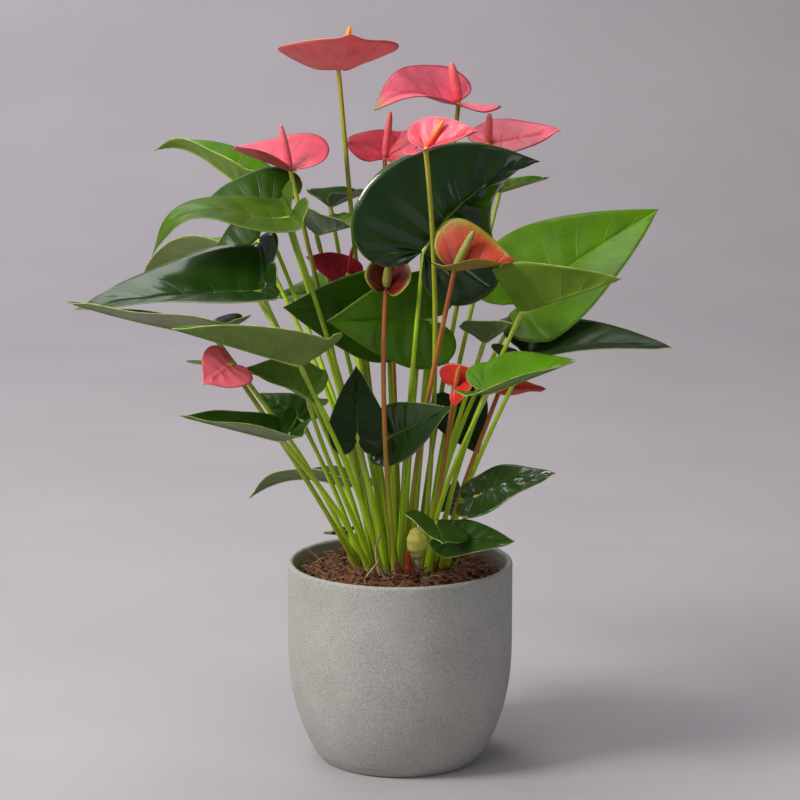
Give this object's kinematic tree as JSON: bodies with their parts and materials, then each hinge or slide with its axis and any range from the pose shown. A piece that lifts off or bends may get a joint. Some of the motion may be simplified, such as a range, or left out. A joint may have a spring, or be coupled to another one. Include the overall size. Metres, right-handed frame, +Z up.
{
  "type": "potted anthurium",
  "caption": "Flamingo flower plant in a round stone-effect pot, with heart-shaped glossy leaves, coral-pink spathes and upright spadices on long stalks.",
  "frame": {"origin": "Centre of the flat underside of the pot, where it stands on a shelf or floor.", "axes": "+Z is up, along the pot's axis and the plant's height. -Y is the front, the side the plant is shown from. +X is to the right seen from the front."},
  "size_m": [0.484, 0.3776, 0.6132],
  "materials": {
    "pot": "matt stone-effect composite with a fine pale speckle",
    "mix": null,
    "leaf_dark": "waxy glossy dark green leaf skin",
    "leaf_fresh": "waxy young bright green leaf skin",
    "leaf_pale": "pale green leaf underside",
    "stalk_green": "smooth satin green stalk",
    "stalk_brown": "smooth satin red-brown stalk",
    "spathe_pink": "glossy coral-pink spathe",
    "spathe_red": "glossy dark red spathe",
    "spathe_orange": "satin orange spathe turning green at its edge",
    "shoot": "smooth pale yellow-green bud"
  },
  "bodies": {
    "root": {"pot": "pot", "potting_mix": "mix", "crown_shoot": "shoot", "leaf_01": "leaf_fresh", "leaf_02": "leaf_dark", "leaf_03": "leaf_fresh", "leaf_04": "leaf_dark", "leaf_05": "leaf_dark", "leaf_06": "leaf_pale", "leaf_07": "leaf_pale", "leaf_08": "leaf_fresh", "leaf_09": "leaf_fresh", "leaf_10": "leaf_dark", "leaf_11": "leaf_dark", "leaf_12": "leaf_dark", "leaf_13": "leaf_dark", "leaf_14": "leaf_dark", "leaf_15": "leaf_dark", "leaf_16": "leaf_dark", "leaf_17": "leaf_dark", "leaf_18": "leaf_dark", "leaf_19": "leaf_dark", "leaf_20": "leaf_fresh", "leaf_21": "leaf_fresh", "leaf_22": "leaf_fresh", "leaf_23": "leaf_dark", "leaf_24": "leaf_fresh", "leaf_25": "leaf_dark", "leaf_26": "leaf_dark", "leaf_27": "leaf_dark", "leaf_28": "leaf_dark", "leaf_29": "leaf_dark", "leaf_30": "leaf_pale", "leaf_31": "leaf_pale", "leaf_32": "leaf_dark", "leaf_33": "leaf_dark", "flower_01_stalk": "stalk_green", "flower_01_spathe": "spathe_pink", "flower_02_stalk": "stalk_green", "flower_02_spathe": "spathe_pink", "flower_03_stalk": "stalk_brown", "flower_03_spathe": "spathe_pink", "flower_04_stalk": "stalk_green", "flower_04_spathe": "spathe_pink", "flower_05_stalk": "stalk_green", "flower_05_spathe": "spathe_pink", "flower_06_stalk": "stalk_green", "flower_06_spathe": "spathe_pink", "flower_07_stalk": "stalk_green", "flower_07_spathe": "spathe_red", "flower_08_stalk": "stalk_green", "flower_08_spathe": "spathe_pink", "flower_09_stalk": "stalk_brown", "flower_09_spathe": "spathe_orange", "flower_10_stalk": "stalk_brown", "flower_10_spathe": "spathe_orange", "flower_11_stalk": "stalk_brown", "flower_11_spathe": "spathe_red", "flower_12_stalk": "stalk_brown", "flower_12_spathe": "spathe_red"}
  },
  "joints": []
}
